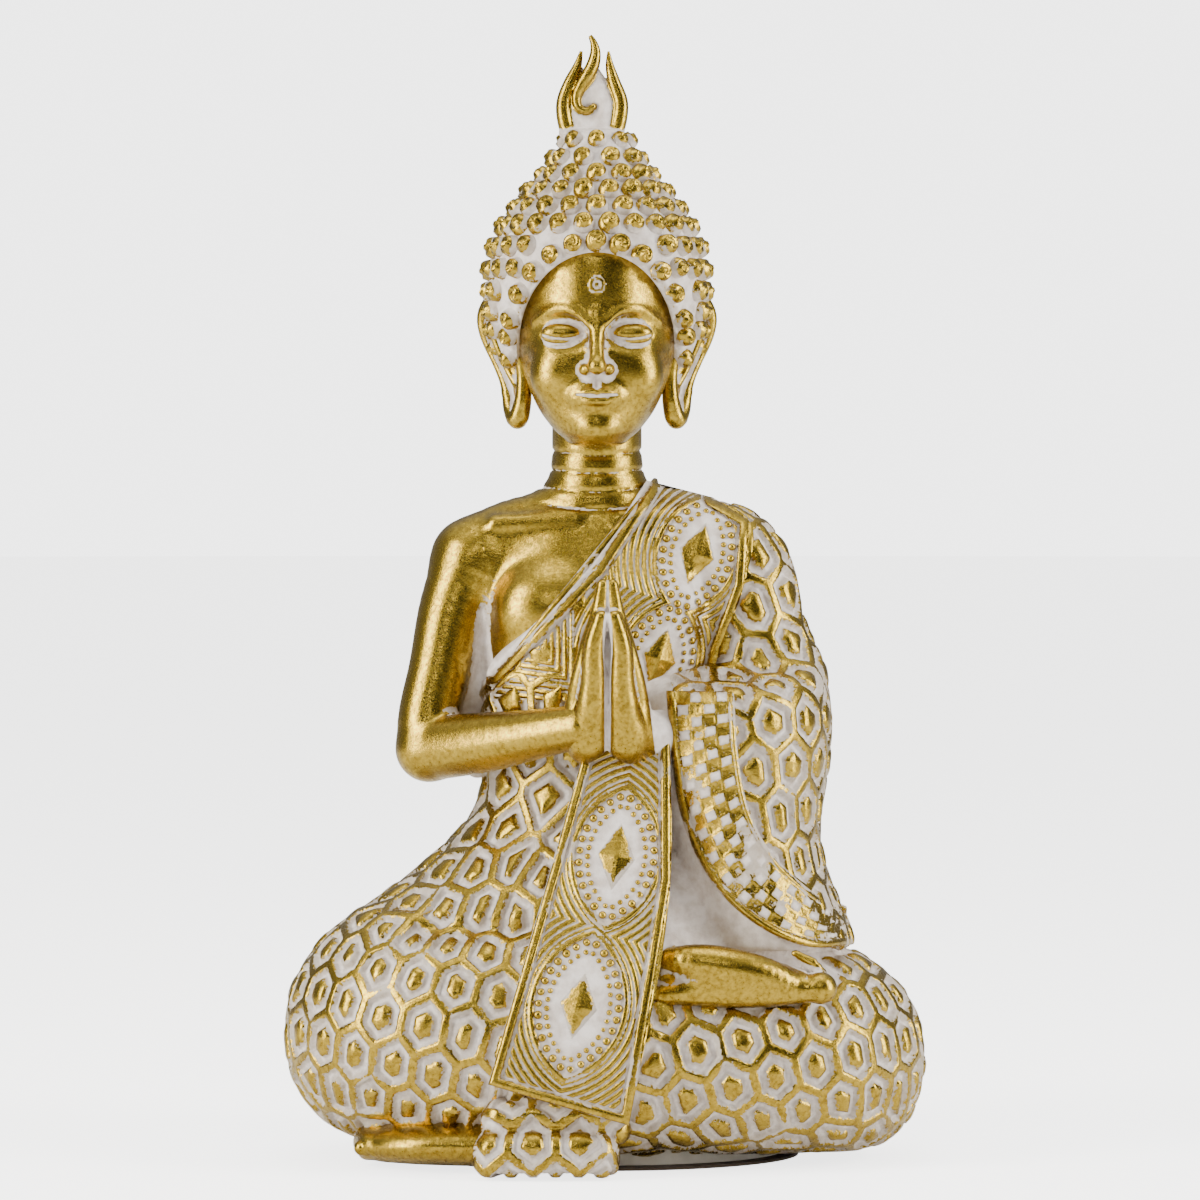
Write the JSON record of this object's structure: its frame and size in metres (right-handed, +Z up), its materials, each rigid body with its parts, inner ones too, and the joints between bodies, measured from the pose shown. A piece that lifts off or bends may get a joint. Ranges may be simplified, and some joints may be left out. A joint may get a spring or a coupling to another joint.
{
  "type": "seated praying buddha statue",
  "caption": "Cross-legged praying figure in a patterned robe with one bare shoulder, curled hair and a flame finial; whitewashed cast resin with rubbed gold relief.",
  "frame": {"origin": "on the underside of the felt, below the middle of the crossed legs", "axes": "+Z up through the flame, -Y is the figure's front, +X is the figure's left side"},
  "size_m": [0.1683, 0.1021, 0.3],
  "materials": {
    "whitewashed_resin": "cast resin with a matt white wash in the recesses and gold leaf rubbed over the raised pattern",
    "gilded_resin": "cast resin under burnished imitation gold leaf, with fine grain and small worn spots",
    "bare_resin": "unpainted cast resin, flat and slightly rough",
    "plug_rubber": "matt black moulded rubber",
    "base_felt": "dark brown self-adhesive felt"
  },
  "bodies": {
    "root": {"right_leg_robe": "whitewashed_resin", "left_leg_robe": "whitewashed_resin", "waist_robe": "whitewashed_resin", "upper_robe": "whitewashed_resin", "left_sleeve": "whitewashed_resin", "sleeve_border": "whitewashed_resin", "chest_sash": "whitewashed_resin", "front_sash": "whitewashed_resin", "robe_tail": "whitewashed_resin", "hair_cap": "whitewashed_resin", "torso": "gilded_resin", "right_arm": "gilded_resin", "right_hand": "gilded_resin", "left_hand": "gilded_resin", "right_foot": "gilded_resin", "left_foot": "gilded_resin", "head": "gilded_resin", "right_ear": "gilded_resin", "left_ear": "gilded_resin", "flame_finial": "gilded_resin", "base_plate": "bare_resin", "vent_plug": "plug_rubber", "felt_base": "base_felt"}
  },
  "joints": []
}
